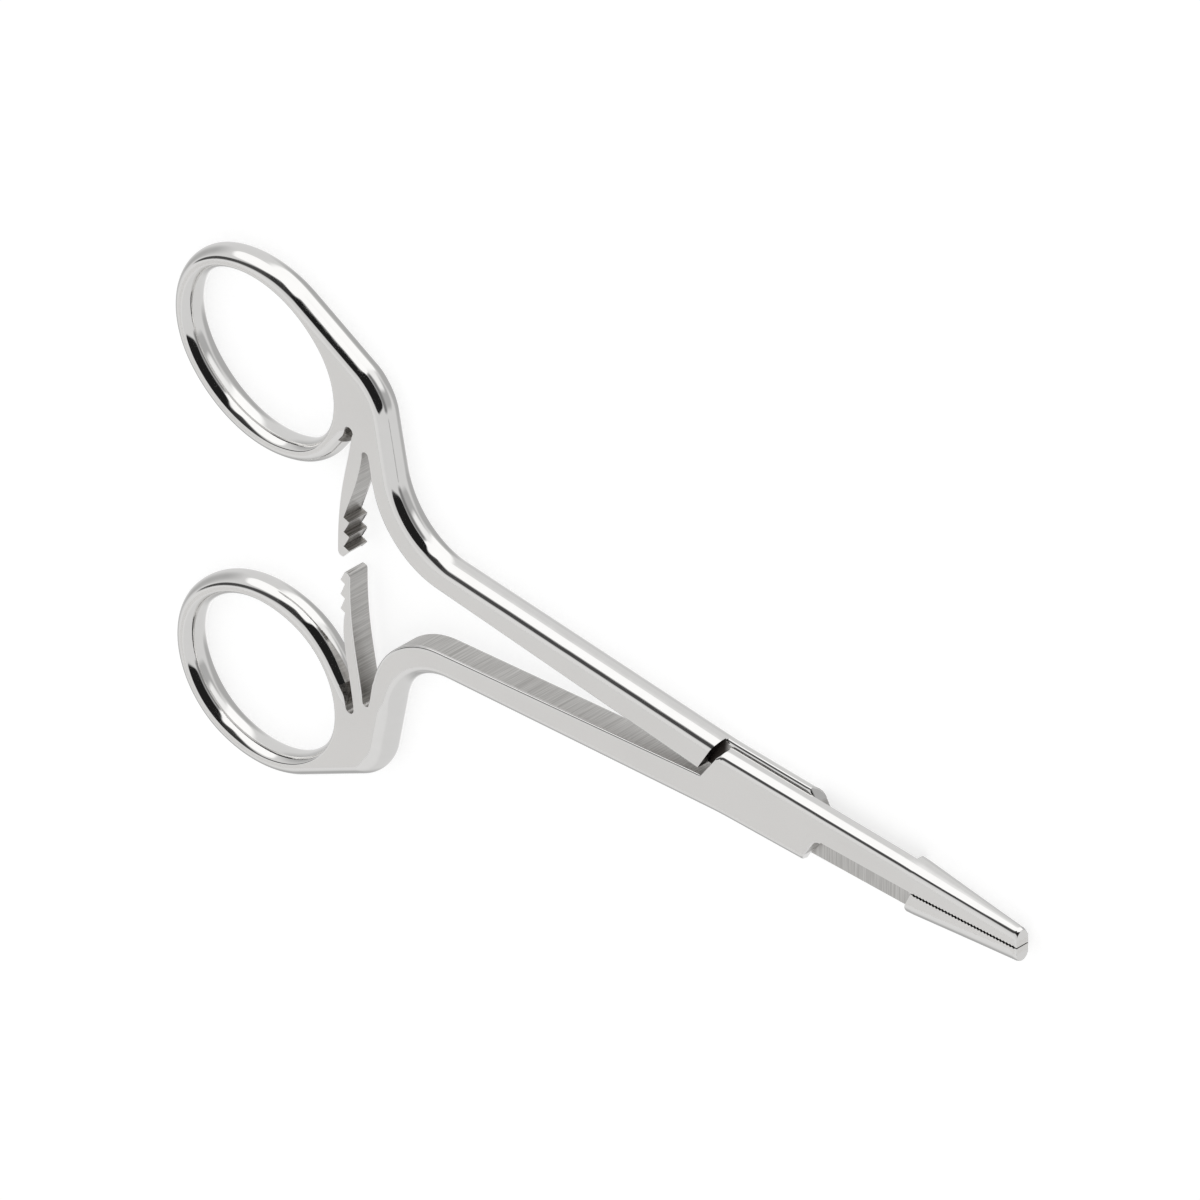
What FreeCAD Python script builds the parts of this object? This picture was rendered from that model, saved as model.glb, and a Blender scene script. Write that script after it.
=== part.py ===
import FreeCAD, Part
import os
from math import atan2, cos, degrees, hypot, radians, sin, tan

V = FreeCAD.Vector

# Needle holder with cutting edges, ring handles and a side ratchet, in millimetres.
# X runs from the rings to the jaw tips, Y towards half A's ring, Z out of the front face.
# The origin is on the pivot axis, on the back face, on which the instrument lies.
# Half A is drawn with its lap at the back. Half B is the same forging turned half round X.

# Body
BODY_T = 3.8            # thickness of the rings, shanks and joint
CROWN = 1.05            # how far the outer sides bulge past the flat faces
JAW_CROWN = 0.7         # the same on the outer side of joint plate, blade and jaw
LAP_GAP = 0.04          # running gap between the two lap faces

# Finger ring: an oval whose long axis slopes towards the joint
RING_X = -84.1
RING_Y = 22.8
RING_TILT = -15.0       # degrees
HOLE_LONG = 12.85       # half length of the hole at the flat faces
HOLE_SHORT = 11.05
HOLE_ROUNDING = 0.923   # radius at the ends of the long axis, as a share of HOLE_SHORT
HOLE_CROWN = 0.85       # bulge of the ring's inner wall
RIM = 0.9               # flat rim round the hole
SIDE_NORMAL = 63.0      # degrees, where the rim runs off the oval straight to the neck
FLANK_NORMAL = -36.0    # degrees, where the rim leaves the oval for the ring slot

# Neck, bend and shank, given at the flat faces
NECK_TOP_FROM_RING = (19.53, 2.2)
NECK_OUT_DIR = -78.5    # degrees
NECK_IN_DIR = -80.5
SHANK_OUT = (-48.5, 6.85)
SHANK_OUT_DIR = -4.0
SHANK_IN = (-48.5, 3.95)
SHANK_IN_DIR = -5.4
CORNER_R = 6.5          # where the ring's straight side turns into the neck
BEND_OUT_R = 11.0
BEND_IN_R = 12.0

# Slots that free the ratchet arm, with their round ends placed from the ring's centre
RING_SLOT_FROM_RING = (15.23, -3.1)
RING_SLOT_R = 0.68
NECK_SLOT_FROM_RING = (17.94, -5.25)
NECK_SLOT_R = 0.55

# Ratchet: each arm hangs in the web between its slots, flush with the front face
TEETH = 3
TOOTH_PITCH = 2.05
TOOTH_LEAN = 0.3        # how far a catch face undercuts towards the arm's root
ARM_T = 3.0
ARM_ROOT = 0.9          # how far the arm runs up into the web
ARM_NOSE_R = 0.5
# Poles of the arm's two long curves, as shares of the way from root to end
ARM_ROOT_POLE = (0.35, 0.3)
ARM_BACK_POLE = 0.5
ARM_BELLY_POLE = 0.15
ARM_A = {
    "teeth": 15.2,    # X of the tooth tips from the ring's centre
    "depth": 0.95,
    "back": 13.5,     # X of the smooth side from the ring's centre, at the arm's end
    "end_y": 1.6,     # distance of the arm's end from the centre line
    "nose": 1.1,      # from the arm's end to its first tooth
    "belly": 0.95,    # how far the toothed side swells out above the teeth
}
ARM_B = {
    "teeth": 13.75,
    "depth": 0.75,
    "back": 15.35,
    "end_y": 0.55,
    "nose": 1.45,
    "belly": 0.9,
}

# Joint
SHOULDER_IN = (-10.7, 0.76)    # end of the full-thickness shank, inner and outer corner
SHOULDER_OUT = (-8.76, 4.0)
PLATE_IN = (-10.3, 0.3)        # where the lap plate's rear edge leaves the shank
PLATE_TAIL = (-7.5, -3.66)     # its far corner
PLATE_TAIL_R = 1.5
PLATE_OUT_DIR = -1.0           # degrees, slope of the plate's outer side
PLATE_BEND_R = 60.0            # eases the outer sides' slight bends
PLATE_END = 6.3                # X of the plate's rounded front corner
PLATE_END_R = 1.2
PLATE_END_DIR = -58.0          # degrees, slope of the front shoulder
BLADE_ROOT_R = 1.6
PIN_R = 1.5
PIN_CLEARANCE = 0.03
PIN_HEAD_R = 2.3
PIN_HEAD_T = 0.8
PIN_HEAD_SINK = 0.02
PIN_TIP_R = 1.15
PIN_TIP_CLEARANCE = 0.02
PIN_FRONT_SKIN = 0.7           # metal left in front of the blind hole
PIN_SLOT_W = 0.5
PIN_SLOT_DEPTH = 0.35

# Blade and jaw
TIP_X = 40.9
TIP_T = 2.0
TIP_HALF_W = 1.55              # jaw's outer side at the tip, from the centre line
JAW_ROOT_HALF_W = 3.05         # the same at the jaw's root
EDGE_OVERLAP_ROOT = 0.4        # how far the cutting edge passes the centre line
EDGE_OVERLAP_END = 0.15
EDGE_RELIEF = 0.3              # how far the cutting face leans back over the blade's thickness
JAW_ROOT_IN = 24.4             # X of the jaw pad's root on the centre line
JAW_ROOT_OUT = 22.9            # X of the same root at the outer side
JAW_ROOT_CLEARANCE = 0.25
JAW_GAP = 0.16                 # between the gripping faces at rest
TIP_CORNER_R = 0.7
SERRATION_PITCH = 0.5
SERRATION_W = 0.42
SERRATION_DEPTH = 0.16

MID_Z = BODY_T / 2
GRIP_Y = -JAW_GAP / 2          # half A's gripping face
PIN_END_Z = BODY_T - PIN_FRONT_SKIN
SPARE = 1.0                    # how far cuts and trims reach past the metal


def from_ring(offset):
    """Place of a point given from the ring's centre."""
    return (RING_X + offset[0], RING_Y + offset[1])


NECK_TOP = from_ring(NECK_TOP_FROM_RING)
RING_SLOT = from_ring(RING_SLOT_FROM_RING)
NECK_SLOT = from_ring(NECK_SLOT_FROM_RING)


def direction(angle):
    """Unit vector at an angle from X, in degrees."""
    return (cos(radians(angle)), sin(radians(angle)))


def line(point, angle):
    """A travelling line: a point on it and its direction."""
    return (point, direction(angle))


def line_through(start, end):
    """The travelling line from start to end."""
    return line(start, degrees(atan2(end[1] - start[1], end[0] - start[0])))


def meet(a, b):
    """Point where two lines cross."""
    (ax, ay), (adx, ady) = a
    (bx, by), (bdx, bdy) = b
    t = ((bx - ax) * bdy - (by - ay) * bdx) / (adx * bdy - ady * bdx)
    return (ax + adx * t, ay + ady * t)


def between(a, b, share):
    """Value at a share of the way from a to b."""
    return a + (b - a) * share


class Path:
    """A chain of edges at one height, drawn clockwise, with the metal on its right.

    The edges drawn with a crown get a rib: the bulge of the side wall past the flat faces.
    """

    def __init__(self, start, z=0.0):
        self.z = z
        self.at = start
        self.edges = []
        self.ribs = []

    def vector(self, point):
        return V(point[0], point[1], self.z)

    def to(self, point, crown=0.0):
        """Straight to a point."""
        start, end = self.vector(self.at), self.vector(point)
        self.edges.append(Part.makeLine(start, end))
        self.at = point
        if crown:
            self.ribs.append(rib_profile(start, end - start, crown).extrude(end - start))

    def arc(self, centre, angle, crown=0.0):
        """Round a centre by an angle in degrees, counter-clockwise when positive."""
        start, axis = self.vector(self.at), self.vector(centre)
        arm = start - axis
        points = [axis + V(arm.x * cos(t) - arm.y * sin(t), arm.x * sin(t) + arm.y * cos(t), 0)
                  for t in (radians(angle / 2), radians(angle))]
        self.edges.append(Part.Arc(start, *points).toShape())
        self.at = (points[1].x, points[1].y)
        if crown:
            travel = V(-arm.y, arm.x, 0) * (1 if angle > 0 else -1)
            self.ribs.append(rib_profile(start, travel, crown).revolve(axis, V(0, 0, 1), angle))

    def half_turn(self, centre, radius):
        """Round a slot's end, over the +Y side of its centre."""
        self.to((centre[0] + radius, centre[1]))
        self.arc(centre, 180.0)

    def turn(self, a, b, radius, crown=0.0, crown_after=None):
        """Along line a, then round a tangent arc of the given radius onto line b."""
        corner = meet(a, b)
        cross = a[1][0] * b[1][1] - a[1][1] * b[1][0]
        dot = a[1][0] * b[1][0] + a[1][1] * b[1][1]
        angle = atan2(cross, dot)
        reach = radius * tan(abs(angle) / 2)
        side = radius if angle > 0 else -radius
        start = (corner[0] - a[1][0] * reach, corner[1] - a[1][1] * reach)
        centre = (start[0] - a[1][1] * side, start[1] + a[1][0] * side)
        self.to(start, crown)
        self.arc(centre, degrees(angle), crown if crown_after is None else crown_after)

    def curve(self, poles):
        """A Bezier curve from the present point with the given poles."""
        bezier = Part.BezierCurve()
        bezier.setPoles([self.vector(p) for p in [self.at] + poles])
        self.edges.append(bezier.toShape())
        self.at = poles[-1]

    def prism(self, height):
        """The solid that stands on this closed path."""
        return Part.Face(Part.Wire(self.edges)).extrude(V(0, 0, height))

    def crowned_prism(self, height):
        """The same with its ribs."""
        return self.prism(height).fuse(self.ribs).removeSplitter()


def rib_profile(start, travel, crown):
    """Round segment across the thickness, left of the travel, or right of it for a minus crown."""
    out = V(-travel.y, travel.x, 0).normalize() * crown
    top = start + V(0, 0, BODY_T)
    bow = Part.Arc(start, start + out + V(0, 0, MID_Z), top).toShape()
    return Part.Face(Part.Wire([bow, Part.makeLine(top, start)]))


class Oval:
    """A four-centred oval round the ring's hole, grown by a margin."""

    def __init__(self, grow=0.0):
        end_r = HOLE_ROUNDING * HOLE_SHORT
        side_r = (HOLE_LONG ** 2 + HOLE_SHORT ** 2 - 2 * HOLE_LONG * end_r) / (
            2 * (HOLE_SHORT - end_r))
        self.end = HOLE_LONG - end_r
        self.side = side_r - HOLE_SHORT
        self.end_r = end_r + grow
        self.side_r = side_r + grow
        self.joint = degrees(atan2(self.side, self.end))

    def arc_at(self, normal):
        """Centre and radius of the arc whose outward normal has this angle from the long axis."""
        turned = normal % 360.0
        if turned < self.joint or turned > 360.0 - self.joint:
            return self.placed((self.end, 0.0)), self.end_r
        if turned < 180.0 - self.joint:
            return self.placed((0.0, -self.side)), self.side_r
        if turned < 180.0 + self.joint:
            return self.placed((-self.end, 0.0)), self.end_r
        return self.placed((0.0, self.side)), self.side_r

    def placed(self, point):
        """Place of a point given along the long and short axes."""
        ux, uy = direction(RING_TILT)
        return (RING_X + point[0] * ux - point[1] * uy, RING_Y + point[0] * uy + point[1] * ux)

    def point(self, normal):
        """The oval's point whose outward normal has this angle from the long axis."""
        centre, radius = self.arc_at(normal)
        nx, ny = direction(normal + RING_TILT)
        return (centre[0] + nx * radius, centre[1] + ny * radius)

    def draw(self, path, start, end, crown):
        """Clockwise along the oval between two normals, counted down from start to end."""
        joints = [self.joint, 180.0 - self.joint, 180.0 + self.joint, 360.0 - self.joint]
        stops = [stop + turn for turn in (360.0, 0.0, -360.0) for stop in reversed(joints)]
        marks = [start] + [stop for stop in stops if end < stop < start] + [end]
        for first, last in zip(marks, marks[1:]):
            centre, _ = self.arc_at((first + last) / 2)
            path.arc(centre, last - first, crown)


def half_blank():
    """Half A at its full thickness, with its rounded outer sides."""
    tip_out = (TIP_X, -TIP_HALF_W)
    jaw_out = (JAW_ROOT_OUT, -JAW_ROOT_HALF_W)

    tip = line((TIP_X, GRIP_Y), -90.0)
    jaw_side = line_through(tip_out, jaw_out)
    plate_side = line_through(jaw_out, PLATE_TAIL)
    plate_rear = line_through(PLATE_TAIL, PLATE_IN)
    shank_in = line(SHANK_IN, SHANK_IN_DIR + 180.0)
    neck_in = line((NECK_SLOT[0] + NECK_SLOT_R, NECK_SLOT[1]), NECK_IN_DIR + 180.0)
    slot_wall = line((RING_SLOT[0] - RING_SLOT_R, RING_SLOT[1]), -90.0)
    neck_out = line(NECK_TOP, NECK_OUT_DIR)
    shank_out = line(SHANK_OUT, SHANK_OUT_DIR)
    plate_out = line(SHOULDER_OUT, PLATE_OUT_DIR)
    shoulder = line((PLATE_END, SHOULDER_OUT[1]), PLATE_END_DIR)
    edge_end = (JAW_ROOT_IN - JAW_ROOT_CLEARANCE, EDGE_OVERLAP_END)
    edge = line_through((PLATE_END, EDGE_OVERLAP_ROOT), edge_end)

    rim = Oval(RIM)
    side_at = SIDE_NORMAL - RING_TILT
    flank_at = FLANK_NORMAL - RING_TILT
    ring_side = line(rim.point(side_at), SIDE_NORMAL - 90.0)

    path = Path((TIP_X, GRIP_Y))
    path.turn(tip, jaw_side, TIP_CORNER_R, 0.0, JAW_CROWN)
    path.turn(jaw_side, plate_side, PLATE_BEND_R, JAW_CROWN)
    path.turn(plate_side, plate_rear, PLATE_TAIL_R, JAW_CROWN)
    path.to(meet(plate_rear, shank_in))
    path.turn(shank_in, neck_in, BEND_IN_R)
    path.half_turn(NECK_SLOT, NECK_SLOT_R)
    path.half_turn(RING_SLOT, RING_SLOT_R)
    path.to(rim.point(flank_at), CROWN)
    rim.draw(path, flank_at, side_at - 360.0, CROWN)
    path.turn(ring_side, neck_out, CORNER_R, CROWN)
    path.turn(neck_out, shank_out, BEND_OUT_R, CROWN)
    path.turn(shank_out, plate_out, PLATE_BEND_R, CROWN)
    path.turn(plate_out, shoulder, PLATE_END_R, CROWN)
    path.turn(shoulder, edge, BLADE_ROOT_R)
    path.to(edge_end)
    path.to((JAW_ROOT_IN, GRIP_Y))
    path.to((TIP_X, GRIP_Y))

    # The rounded sides end square where they reach the tip, the slot and the joint's two ends
    trims = [
        beside(tip, 0.0, TIP_HALF_W + CROWN),
        beside(plate_rear, -BODY_T, hypot(PLATE_IN[0] - PLATE_TAIL[0], PLATE_IN[1] - PLATE_TAIL[1])),
        beside(shoulder, -BODY_T, BODY_T),
        beside(slot_wall, 0.0, BODY_T, 2 * RING_SLOT_R),
    ]
    return path.crowned_prism(BODY_T).cut(trims)


def beside(edge, start, end, width=BODY_T):
    """Block on the left of a travelling line, from start to end along it."""
    (x, y), (dx, dy) = edge
    corners = [(x + dx * start, y + dy * start), (x + dx * end, y + dy * end)]
    corners += [(cx - dy * width, cy + dx * width) for cx, cy in reversed(corners)]
    return slab(corners, -SPARE, BODY_T + SPARE)


def ring_hole():
    """The finger hole. Its ribs stand inside it, since its wall bulges the other way."""
    hole = Oval()
    path = Path(hole.point(0.0))
    hole.draw(path, 0.0, -360.0, -HOLE_CROWN)
    return path


def slab(points, z0, z1):
    """Prism over a polygon, between two heights."""
    path = Path(points[0], z0)
    for point in points[1:] + points[:1]:
        path.to(point)
    return path.prism(z1 - z0)


def lap_pocket():
    """What is milled from half A for half B: its front half from the shoulder to the jaw."""
    reach = 2 * BODY_T
    inner = line_through(SHOULDER_OUT, SHOULDER_IN)
    root = line_through((JAW_ROOT_IN, 0.0), (JAW_ROOT_OUT, -JAW_ROOT_HALF_W))
    high = line((0.0, SHOULDER_OUT[1] + reach), 0.0)
    low = line((0.0, -JAW_ROOT_HALF_W - reach), 0.0)
    corners = [meet(inner, low), meet(root, low), meet(root, high), meet(inner, high)]
    return slab(corners, MID_Z - LAP_GAP / 2, BODY_T + SPARE)


def side_profile(points, y0, y1):
    """Prism over a polygon in X and Z, between two values of Y."""
    wire = Part.makePolygon([V(x, y0, z) for x, z in points + points[:1]])
    return Part.Face(wire).extrude(V(0, y1 - y0, 0))


def jaw_tapers():
    """Wedges that thin the jaw evenly from both faces towards the tip."""
    thin = (BODY_T - TIP_T) / 2
    reach = 2 * JAW_ROOT_HALF_W
    end = TIP_X + SPARE
    drop = thin * (end - JAW_ROOT_IN) / (TIP_X - JAW_ROOT_IN)
    low = [(JAW_ROOT_IN, 0.0), (JAW_ROOT_IN, -SPARE), (end, -SPARE), (end, drop)]
    high = [(x, BODY_T - z) for x, z in low]
    return [side_profile(low, -reach, reach), side_profile(high, -reach, reach)]


def edge_grinding():
    """Wedge that leans the cutting face back, so only its edge at the lap meets the other blade."""
    wide = EDGE_OVERLAP_ROOT + SPARE
    x0 = PLATE_END + 2 * BLADE_ROOT_R
    x1 = JAW_ROOT_IN - JAW_ROOT_CLEARANCE
    sections = []
    for x, y in ((x0, EDGE_OVERLAP_ROOT), (x1, EDGE_OVERLAP_END)):
        corners = [(y, MID_Z), (y - EDGE_RELIEF, 0.0), (y - EDGE_RELIEF, -SPARE)]
        corners += [(wide, -SPARE), (wide, MID_Z)]
        sections.append(Part.makePolygon([V(x, cy, cz) for cy, cz in corners + corners[:1]]))
    return Part.makeLoft(sections, True, True)


def serrations():
    """Grooves across the gripping face."""
    grooves = []
    x = JAW_ROOT_IN + SERRATION_PITCH
    while x < TIP_X - SERRATION_PITCH:
        rear, front = x - SERRATION_W / 2, x + SERRATION_W / 2
        corners = [(rear, GRIP_Y), (x, GRIP_Y - SERRATION_DEPTH), (front, GRIP_Y)]
        corners += [(front, GRIP_Y + SPARE), (rear, GRIP_Y + SPARE)]
        grooves.append(slab(corners, -SPARE, BODY_T + SPARE))
        x += SERRATION_PITCH
    return grooves


def arm(shape, out, z0):
    """Ratchet arm of a half whose ring is at +Y, its teeth on the +X side (out 1) or -X (out -1)."""
    left_root = (RING_SLOT[0] + RING_SLOT_R, RING_SLOT[1])
    right_root = (NECK_SLOT[0] - NECK_SLOT_R, NECK_SLOT[1])
    smooth, toothed = (left_root, right_root) if out > 0 else (right_root, left_root)
    end_y, back_x, tip_x = shape["end_y"], RING_X + shape["back"], RING_X + shape["teeth"]
    valley_x = tip_x - out * shape["depth"]
    first_y = end_y + shape["nose"]
    last_y = first_y + TEETH * TOOTH_PITCH
    path = Path(smooth, z0)
    across, along = ARM_ROOT_POLE
    path.curve([
        (between(smooth[0], back_x, across), between(smooth[1], end_y, along)),
        (back_x, between(smooth[1], end_y, ARM_BACK_POLE)),
        (back_x, end_y + 2 * ARM_NOSE_R),
    ])
    nose = line((0.0, end_y), 0.0 if out > 0 else 180.0)
    ramp = line_through((valley_x, end_y), (tip_x, first_y))
    path.turn(line((back_x, end_y), -90.0), nose, ARM_NOSE_R)
    path.turn(nose, ramp, ARM_NOSE_R / 2)
    for tooth in range(TEETH):
        y = first_y + tooth * TOOTH_PITCH
        path.to((tip_x, y))
        path.to((valley_x, y + TOOTH_LEAN))
    path.curve([
        (valley_x + out * shape["belly"], between(last_y, toothed[1], ARM_BELLY_POLE)),
        (between(toothed[0], tip_x, across), between(toothed[1], end_y, along)),
        toothed,
    ])
    path.to((toothed[0], toothed[1] + ARM_ROOT))
    path.to((smooth[0], smooth[1] + ARM_ROOT))
    path.to(smooth)
    return path.prism(ARM_T)


def half(ratchet_arm):
    """One forged and milled half, drawn as half A."""
    hole = ring_hole()
    body = half_blank().cut(hole.prism(BODY_T)).fuse(hole.ribs + [ratchet_arm]).removeSplitter()
    cuts = [lap_pocket(), edge_grinding()] + jaw_tapers() + serrations()
    return body.cut(cuts)


def turned_over(shape):
    """The shape turned half round the X axis through the middle of the thickness."""
    copy = shape.copy()
    copy.rotate(V(0, 0, MID_Z), V(1, 0, 0), 180)
    return copy


def cylinder(radius, z0, z1):
    """Cylinder on the pivot axis between two heights."""
    return Part.makeCylinder(radius, z1 - z0, V(0, 0, z0))


def half_a():
    """Back lap, ring at +Y: bored for the pin's journal and sunk for its head."""
    bore = cylinder(PIN_R + PIN_CLEARANCE, -SPARE, BODY_T)
    sink = cylinder(PIN_HEAD_R + PIN_CLEARANCE, -SPARE, PIN_HEAD_T + PIN_HEAD_SINK)
    return half(arm(ARM_A, 1, BODY_T - ARM_T)).cut([bore, sink])


def half_b():
    """Front lap, ring at -Y: its blind hole takes the pin's threaded end."""
    hole = cylinder(PIN_TIP_R + PIN_TIP_CLEARANCE, 0.0, PIN_END_Z)
    return turned_over(half(arm(ARM_B, -1, 0.0))).cut(hole)


def pivot_pin():
    """Flush slotted head, journal and threaded end."""
    head = cylinder(PIN_HEAD_R, PIN_HEAD_SINK, PIN_HEAD_T)
    journal = cylinder(PIN_R, PIN_HEAD_SINK, MID_Z)
    tip = cylinder(PIN_TIP_R, PIN_HEAD_SINK, PIN_END_Z - PIN_CLEARANCE)
    reach = 2 * PIN_HEAD_R
    slot = Part.makeBox(2 * reach, PIN_SLOT_W, PIN_HEAD_SINK + PIN_SLOT_DEPTH + SPARE,
                        V(-reach, -PIN_SLOT_W / 2, -SPARE))
    return head.fuse([journal, tip]).removeSplitter().cut(slot)


os.makedirs("parts", exist_ok=True)
half_a().exportStep("parts/half_a.step")
half_b().exportStep("parts/half_b.step")
pivot_pin().exportStep("parts/pivot_pin.step")
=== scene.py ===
from math import atan2, cos, degrees, pi, radians, sin, tan

import bmesh
import bpy
import numpy as np
from mathutils import Matrix, Vector
from mathutils.geometry import tessellate_polygon


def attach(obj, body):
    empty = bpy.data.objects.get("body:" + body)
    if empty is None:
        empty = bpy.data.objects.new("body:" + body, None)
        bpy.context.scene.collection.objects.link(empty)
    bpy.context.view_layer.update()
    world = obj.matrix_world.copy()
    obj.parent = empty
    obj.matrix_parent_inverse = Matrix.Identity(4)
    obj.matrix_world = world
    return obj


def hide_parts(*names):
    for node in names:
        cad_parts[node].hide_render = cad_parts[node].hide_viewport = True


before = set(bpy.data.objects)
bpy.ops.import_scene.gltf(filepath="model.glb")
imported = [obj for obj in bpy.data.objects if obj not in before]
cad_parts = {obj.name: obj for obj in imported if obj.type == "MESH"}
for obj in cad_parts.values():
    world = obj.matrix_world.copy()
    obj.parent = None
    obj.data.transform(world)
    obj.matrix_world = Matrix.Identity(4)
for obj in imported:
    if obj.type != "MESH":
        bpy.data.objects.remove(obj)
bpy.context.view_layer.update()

# Needle holder with cutting edges. Shapes are worked out in millimetres in the part's own frame:
# X from the rings to the jaw tips, Y towards half A's ring, Z out of the front face.
MM = 0.001

# Body
BODY_T = 3.8
HALF_T = BODY_T / 2
CROWN = 1.05
JAW_CROWN = 0.7
LAP_GAP = 0.04

# Finger ring
RING_X, RING_Y, RING_TILT = -84.1, 22.8, -15.0
HOLE_LONG, HOLE_SHORT, HOLE_ROUNDING = 12.85, 11.05, 0.923
HOLE_CROWN = 0.85
RIM = 0.9
SIDE_NORMAL, FLANK_NORMAL = 63.0, -36.0

# Neck, bend and shank
NECK_TOP, NECK_OUT_DIR, NECK_IN_DIR = (RING_X + 19.53, RING_Y + 2.2), -78.5, -80.5
SHANK_OUT, SHANK_OUT_DIR = (-48.5, 6.85), -4.0
SHANK_IN, SHANK_IN_DIR = (-48.5, 3.95), -5.4
CORNER_R, BEND_OUT_R, BEND_IN_R = 6.5, 11.0, 12.0

# Slots and ratchet arms
RING_SLOT, RING_SLOT_R = (RING_X + 15.23, RING_Y - 3.1), 0.68
NECK_SLOT, NECK_SLOT_R = (RING_X + 17.94, RING_Y - 5.25), 0.55
TEETH, TOOTH_PITCH, TOOTH_LEAN = 3, 2.05, 0.3
ARM_T, ARM_ROOT, ARM_NOSE_R = 3.0, 0.9, 0.5
ARM_ROOT_POLE, ARM_BACK_POLE, ARM_BELLY_POLE = (0.35, 0.3), 0.5, 0.15
ARM_A = {"teeth": 15.2, "depth": 0.95, "back": 13.5, "end_y": 1.6, "nose": 1.1, "belly": 0.95}
ARM_B = {"teeth": 13.75, "depth": 0.75, "back": 15.35, "end_y": 0.55, "nose": 1.45, "belly": 0.9}

# Joint
SHOULDER_IN, SHOULDER_OUT = (-10.7, 0.76), (-8.76, 4.0)
PLATE_IN, PLATE_TAIL, PLATE_TAIL_R = (-10.3, 0.3), (-7.5, -3.66), 1.5
PLATE_OUT_DIR, PLATE_BEND_R = -1.0, 60.0
PLATE_END, PLATE_END_R, PLATE_END_DIR, BLADE_ROOT_R = 6.3, 1.2, -58.0, 1.6
GAP_SHADE_FADE, GAP_SHADE_END = -8.4, -7.0      # painted shade on the lap, behind the shoulder

# Blade and jaw
TIP_X, TIP_T, TIP_HALF_W, JAW_ROOT_HALF_W = 40.9, 2.0, 1.55, 3.05
EDGE_OVERLAP_ROOT, EDGE_OVERLAP_END, EDGE_RELIEF = 0.4, 0.15, 0.3
JAW_ROOT_IN, JAW_ROOT_OUT, JAW_ROOT_CLEARANCE = 24.4, 22.9, 0.25
JAW_GAP, TIP_CORNER_R = 0.16, 0.7
SERRATION_PITCH, SERRATION_DEPTH, SERRATION_LIP = 0.5, 0.16, 0.005

# Screw holes: through half A with a sink for the head, blind in half B
PIN_BORE_R, PIN_SINK_R, PIN_SINK_Z = 1.53, 2.33, 0.82
PIN_HOLE_R, PIN_HOLE_Z = 1.17, 3.1

# Rounded edges between the flat faces and the side walls
EDGE_R = 0.12
CROWN_EDGE_R = 0.36
JAW_FRONT_EDGE_R, JAW_BACK_EDGE_R = 1.1, 0.46
SHANK_EDGE_R = 0.3
NECK_BACK_EDGE_R = 1.0
TIP_EDGE_R = 0.28
ARM_EDGE_R = 0.1
FLANK_SHADED = 0.5       # share of the run beside the ring slot that gets the painted shade of the darker ground finish
LAP_EDGE_W, LAP_EDGE_H, LAP_EDGE_MARGIN, LAP_EDGE_CLEAR = 0.55, 0.42, 0.7, 0.4
PAD_CORNER_IN, PAD_CORNER_R, PAD_CORNER_TURN = 1.3, 1.9, 70.0
EDGE_EASE = 0.3         # how fast an edge radius may change along the edge
EASE_PASSES = 12
SHARP_EDGE_R = 0.004    # stands for no rounding, so that no edge row falls together

# Fineness of the surfaces
STEP = 0.35             # along straight and curved sides
TURN_STEP = 3.0         # degrees, on tight curves
CURVE_STEPS = 28
EDGE_STEPS = 6
CROWN_STEPS = 20        # across the thickness
PAD_CORNER_STEPS = 12
LAP_EDGE_STEPS = 8
CYLINDER_SIDES = 96

SPARE = 1.0             # how far cutting blocks reach past the metal
LEAST = 1e-6            # lengths below this count as none
CORNER_ANGLE, FLAT_ANGLE = 35.0, 1.5    # degrees, above which edges are shaded sharp

# Finishes, as places in the list STEELS
POLISHED, SATIN, GROUND, LAPPED, SHADED_GROUND = 0, 1, 2, 3, 4

# Side walls as (crown, finish, front edge radius, back edge radius), for half A as drawn
FULL = (CROWN, POLISHED, CROWN_EDGE_R, CROWN_EDGE_R)
NECK = (CROWN, POLISHED, CROWN_EDGE_R, NECK_BACK_EDGE_R)
HOLE = (HOLE_CROWN, POLISHED, EDGE_R, EDGE_R)
JAW = (JAW_CROWN, POLISHED, JAW_FRONT_EDGE_R, JAW_BACK_EDGE_R)
# FLANK, GRIP and CATCH take the darker ground finish, whose dark tones are painted shade beside the
# ring slot, under the other jaw and between the teeth
FLANK = (CROWN, SHADED_GROUND, CROWN_EDGE_R, CROWN_EDGE_R)
TIP = (0.0, SATIN, TIP_EDGE_R, TIP_EDGE_R)
CUT = (0.0, GROUND, EDGE_R, EDGE_R)
GRIP = (0.0, SHADED_GROUND, EDGE_R / 2, EDGE_R / 2)
SHANK_CUT = (0.0, GROUND, SHANK_EDGE_R, SHANK_EDGE_R)
WEB = (0.0, GROUND, 0.0, 0.0)
ARM_CUT = (0.0, GROUND, ARM_EDGE_R, ARM_EDGE_R)
CATCH = (0.0, SHADED_GROUND, ARM_EDGE_R / 2, ARM_EDGE_R / 2)


def direction(angle):
    """Unit vector (cos a, sin a) of an angle in degrees."""
    return np.array([cos(radians(angle)), sin(radians(angle))])


def line(point, angle):
    """A travelling line: a point on it and its unit direction."""
    return np.array(point, float), direction(angle)


def line_through(start, end):
    """Line from one point towards another."""
    return line(start, degrees(atan2(end[1] - start[1], end[0] - start[0])))


def between(a, b, share):
    """a + (b - a) times the share."""
    return a + (b - a) * share


def meet(a, b):
    """Point where two lines cross: a + t d with t from the cross products."""
    (pa, da), (pb, db) = a, b
    t = ((pb[0] - pa[0]) * db[1] - (pb[1] - pa[1]) * db[0]) / (da[0] * db[1] - da[1] * db[0])
    return pa + da * t


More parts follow.
